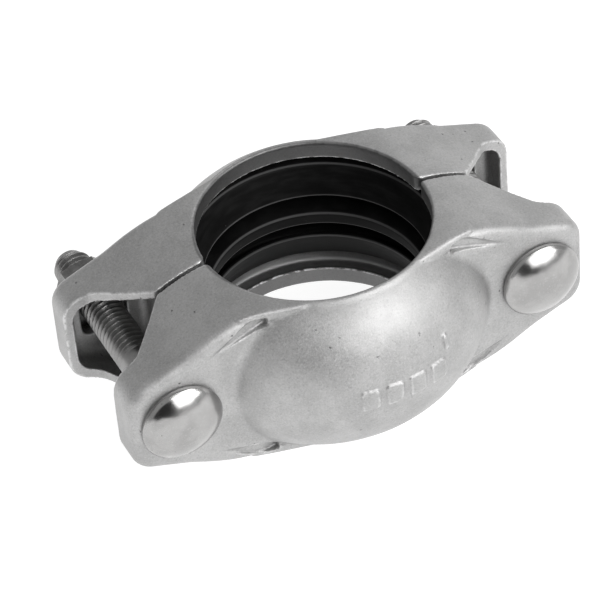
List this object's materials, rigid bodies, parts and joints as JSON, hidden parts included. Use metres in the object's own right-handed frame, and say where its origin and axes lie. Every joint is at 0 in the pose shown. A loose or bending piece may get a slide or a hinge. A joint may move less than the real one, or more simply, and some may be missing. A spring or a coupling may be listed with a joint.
{
  "type": "grooved pipe coupling",
  "caption": "Two-piece grooved pipe coupling: cast half housings with bolt ears clamp a rubber gasket ring round a pipe joint, drawn up by round-head bolts and hex nuts.",
  "frame": {"origin": "centre of the pipe bore, midway between the two pipe faces of the coupling", "axes": "+Z along the pipe axis, +X from ear to ear, +Y along the bolts from heads to nuts"},
  "size_m": [0.117, 0.0805, 0.0444],
  "materials": {
    "housing": "blasted, satin",
    "gasket": "moulded, satin",
    "bolt": "tumbled, half bright",
    "nut": "dull"
  },
  "bodies": {
    "front_half": {"housing_front": "housing", "bolt_left": "bolt", "bolt_right": "bolt"},
    "back_half": {"housing_back": "housing"},
    "seal": {"gasket": "gasket"},
    "left_nut": {"nut_left": "nut"},
    "right_nut": {"nut_right": "nut"}
  },
  "joints": [
    {"name": "housing_open", "type": "slide", "parent": "front_half", "child": "back_half", "axis": [0, 1, 0], "range_m": [0, 0.009]},
    {"name": "gasket_follow", "type": "slide", "parent": "front_half", "child": "seal", "axis": [0, 1, 0], "range_m": [0, 0.0045]},
    {"name": "left_nut_turn", "type": "hinge", "parent": "back_half", "child": "left_nut", "pos_m": [-0.0465, 0, 0], "axis": [0, 1, 0], "range_deg": [0, 2042]},
    {"name": "right_nut_turn", "type": "hinge", "parent": "back_half", "child": "right_nut", "pos_m": [0.0465, 0, 0], "axis": [0, 1, 0], "range_deg": [0, 2042]}
  ],
  "couplings": [
    {"joint": "gasket_follow", "follows": "housing_open", "ratio": 0.5},
    {"joint": "left_nut_turn", "follows": "housing_open", "rad_per_m": 3957.9},
    {"joint": "right_nut_turn", "follows": "housing_open", "rad_per_m": 3957.9}
  ]
}
